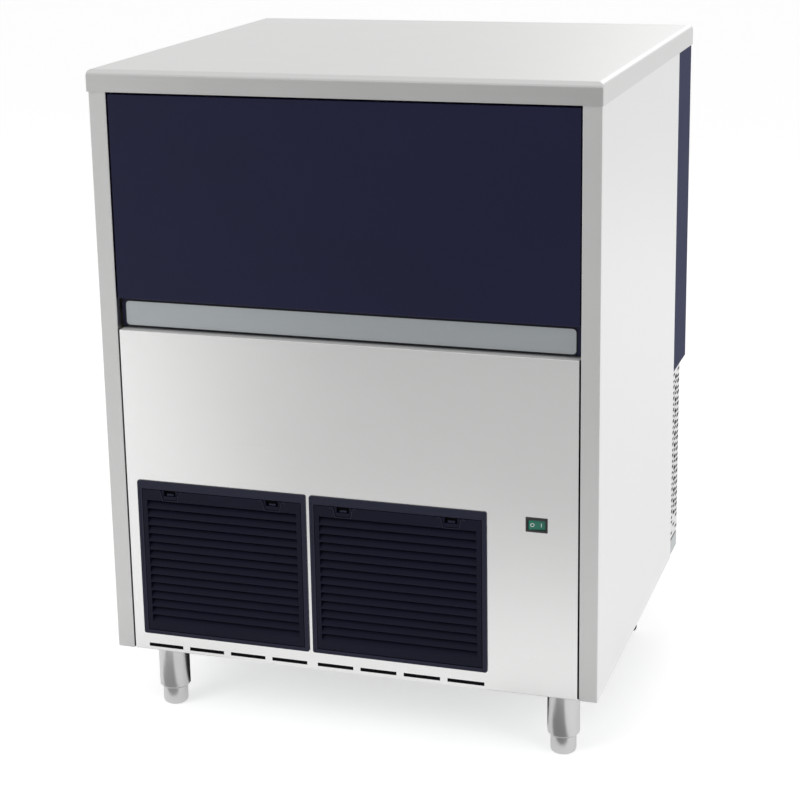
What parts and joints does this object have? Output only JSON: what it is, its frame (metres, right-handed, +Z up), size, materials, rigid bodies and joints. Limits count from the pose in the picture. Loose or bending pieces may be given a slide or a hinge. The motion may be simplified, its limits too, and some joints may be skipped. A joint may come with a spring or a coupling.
{
  "type": "flake ice machine",
  "caption": "Under-counter flake ice machine with an insulated bin, up-and-over door, louvred intake grilles, auger freezing barrel, cooling set and levelling feet.",
  "frame": {"origin": "on the floor, under the middle of the machine's outline seen from above", "axes": "+Z up, +X to the right seen from the front, -Y out of the front"},
  "size_m": [0.738, 0.69, 0.98],
  "materials": {
    "stainless": "fine brushed",
    "galvanised": "dull",
    "navy_plastic": "fine grained",
    "blue_paint": "semi gloss",
    "grip_strip": "satin silver",
    "bin_plastic": "smooth",
    "foam": "open cell",
    "grey_plastic": "smooth",
    "black_plastic": "fine grained",
    "green_lens": "clear gloss",
    "copper": "drawn",
    "aluminium": "mill",
    "cast_iron": "black enamel",
    "rubber": "matt",
    "brass": "turned"
  },
  "bodies": {
    "cabinet": {"top_panel": "stainless", "side_panel_left": "stainless", "side_panel_right": "stainless", "lower_front_panel": "stainless", "base_chassis": "galvanised", "bin_support_left": "galvanised", "bin_support_right": "galvanised", "rear_bulkhead": "galvanised", "upper_rear_cover": "blue_paint", "lower_rear_cover": "stainless", "top_foam_board": "foam", "bin_foam": "foam", "bin_liner": "bin_plastic", "bin_sill": "grey_plastic", "bin_drain": "grey_plastic", "bin_sensor_tube": "stainless", "door_track_left": "bin_plastic", "door_track_right": "bin_plastic", "grille_frame_left": "navy_plastic", "grille_frame_right": "navy_plastic", "switch_housing": "black_plastic", "foot_tube_front_left": "stainless", "foot_tube_front_right": "stainless", "foot_tube_rear_left": "stainless", "foot_tube_rear_right": "stainless", "condenser": "aluminium", "fan_shroud": "black_plastic", "fan_motor": "grey_plastic", "compressor": "cast_iron", "compressor_bracket": "galvanised", "discharge_pipe": "copper", "filter_drier": "copper", "suction_pipe": "copper", "gearmotor": "aluminium", "freezing_barrel": "stainless", "barrel_foam": "foam", "outlet_head": "stainless", "ice_chute": "bin_plastic", "water_reservoir": "bin_plastic", "reservoir_lid": "bin_plastic", "reservoir_hose": "rubber", "electrical_box": "grey_plastic", "drain_hose": "grey_plastic", "drain_outlet": "grey_plastic", "water_inlet": "brass", "cable_gland": "black_plastic"},
    "door": {"door_panel": "navy_plastic", "door_grip_strip": "grip_strip", "door_roller_left": "grey_plastic", "door_roller_right": "grey_plastic"},
    "grille_panel_left": {"grille_panel_left": "navy_plastic"},
    "grille_panel_right": {"grille_panel_right": "navy_plastic"},
    "switch_rocker": {"switch_rocker": "green_lens"},
    "foot_front_left": {"foot_front_left": "stainless"},
    "foot_front_right": {"foot_front_right": "stainless"},
    "foot_rear_left": {"foot_rear_left": "stainless"},
    "foot_rear_right": {"foot_rear_right": "stainless"},
    "fan": {"fan": "black_plastic"},
    "auger": {"auger": "stainless"},
    "float_arm": {"float_arm": "aluminium"}
  },
  "joints": [
    {"name": "door_swing", "type": "hinge", "parent": "cabinet", "child": "door", "pos_m": [0, -0.3205, 0.915], "axis": [-1, 0, 0], "range_deg": [0, 90]},
    {"name": "grille_tip_left", "type": "hinge", "parent": "cabinet", "child": "grille_panel_left", "pos_m": [-0.1905, -0.3437, 0.1441], "axis": [1, 0, 0], "range_deg": [0, 35]},
    {"name": "grille_tip_right", "type": "hinge", "parent": "cabinet", "child": "grille_panel_right", "pos_m": [0.0775, -0.3437, 0.1441], "axis": [1, 0, 0], "range_deg": [0, 35]},
    {"name": "rocker_tilt", "type": "hinge", "parent": "cabinet", "child": "switch_rocker", "pos_m": [0.28, -0.337, 0.3655], "axis": [0, 0, -1], "range_deg": [0, 14]},
    {"name": "foot_screw_front_left", "type": "slide", "parent": "cabinet", "child": "foot_front_left", "axis": [0, 0, 1], "range_m": [-0.04, 0]},
    {"name": "foot_screw_front_right", "type": "slide", "parent": "cabinet", "child": "foot_front_right", "axis": [0, 0, 1], "range_m": [-0.04, 0]},
    {"name": "foot_screw_rear_left", "type": "slide", "parent": "cabinet", "child": "foot_rear_left", "axis": [0, 0, 1], "range_m": [-0.04, 0]},
    {"name": "foot_screw_rear_right", "type": "slide", "parent": "cabinet", "child": "foot_rear_right", "axis": [0, 0, 1], "range_m": [-0.04, 0]},
    {"name": "fan_spin", "type": "hinge", "parent": "cabinet", "child": "fan", "pos_m": [-0.0565, -0.2537, 0.2575], "axis": [0, 1, 0], "continuous": true},
    {"name": "auger_spin", "type": "hinge", "parent": "cabinet", "child": "auger", "pos_m": [0, 0.283, 0.5041], "axis": [0, 0, 1], "continuous": true},
    {"name": "float_swing", "type": "hinge", "parent": "cabinet", "child": "float_arm", "pos_m": [0.163, 0.2729, 0.743], "axis": [0, -1, 0], "range_deg": [0, 22]}
  ]
}
